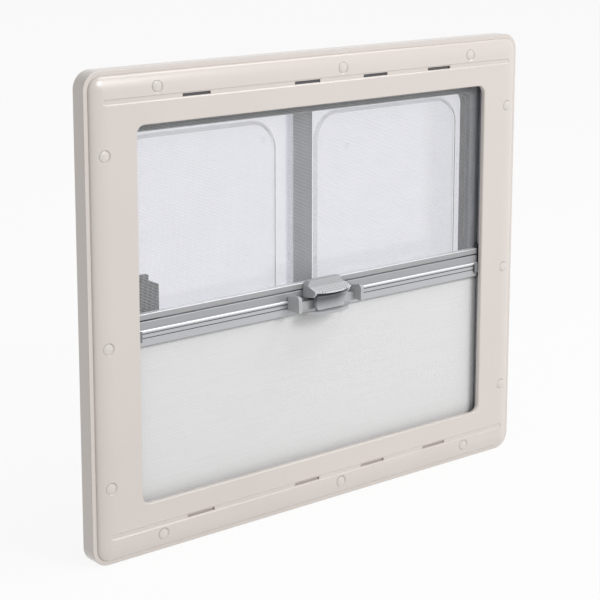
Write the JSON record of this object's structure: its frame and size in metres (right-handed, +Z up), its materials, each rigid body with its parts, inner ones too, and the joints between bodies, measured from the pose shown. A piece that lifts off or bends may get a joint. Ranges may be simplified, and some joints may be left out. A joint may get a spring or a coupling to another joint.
{
  "type": "caravan sliding window",
  "caption": "Wall window with a moulded inner frame, sliding and fixed double panes, a roller flyscreen and a roller blackout blind joined by a catch.",
  "frame": {"origin": "on the room-facing flat face of the outer frame's flange, in the middle of its lower strip", "axes": "+X to the right as seen from inside the caravan, +Y out through the wall, +Z up"},
  "size_m": [0.632, 0.0785, 0.532],
  "materials": {
    "trim": "cream moulded plastic, satin",
    "cap": "cream plastic screw cap",
    "zinc": "zinc-plated screw",
    "housing": "dark grey plastic",
    "roller": "roller tube with cloth wound on it",
    "mesh": "dark grey flyscreen mesh",
    "blackout": "white finely woven blackout fabric",
    "bar": "satin anodised aluminium",
    "bar_end": "black plastic",
    "catch": "mid grey plastic",
    "pin": "steel pin",
    "frame": "dark grey moulded frame",
    "seal": "black sealing strip",
    "acrylic": "clear acrylic sheet",
    "plug": "small clear plug"
  },
  "bodies": {
    "window": {"inner_frame": "trim", "top_caps": "cap", "bottom_caps": "cap", "left_caps": "cap", "right_caps": "cap", "top_screws": "zinc", "bottom_screws": "zinc", "left_screws": "zinc", "right_screws": "zinc", "screen_cassette": "housing", "blind_cassette": "housing", "screen_roller": "roller", "blind_roller": "roller", "flyscreen": "mesh", "blackout_blind": "blackout", "left_guide": "housing", "right_guide": "housing", "screen_bar": "bar", "blind_bar": "bar", "screen_bar_ends": "bar_end", "blind_bar_ends": "bar_end", "catch_base": "catch", "catch_left_block": "catch", "catch_right_block": "catch", "catch_hood": "catch", "catch_pin": "pin", "outer_frame": "frame", "flange_seal": "seal", "top_pile_seal": "seal", "bottom_pile_seal": "seal", "fixed_pane_gasket": "seal", "left_inner_sheet": "acrylic", "left_outer_sheet": "acrylic", "right_inner_sheet": "acrylic", "right_outer_sheet": "acrylic", "meeting_stile": "frame", "left_stile": "frame", "left_plugs": "plug", "right_plugs": "plug", "pane_lock": "frame", "pane_lock_knob": "frame"},
    "catch_lever": {"catch_lever": "catch"}
  },
  "joints": [
    {"name": "catch_lever_hinge", "type": "hinge", "parent": "window", "child": "catch_lever", "pos_m": [0, -0.062, 0.2395], "axis": [-1, 0, 0], "range_deg": [0, 12], "stiffness_Nm_per_rad": 0.02, "springref_deg": -2.86}
  ]
}
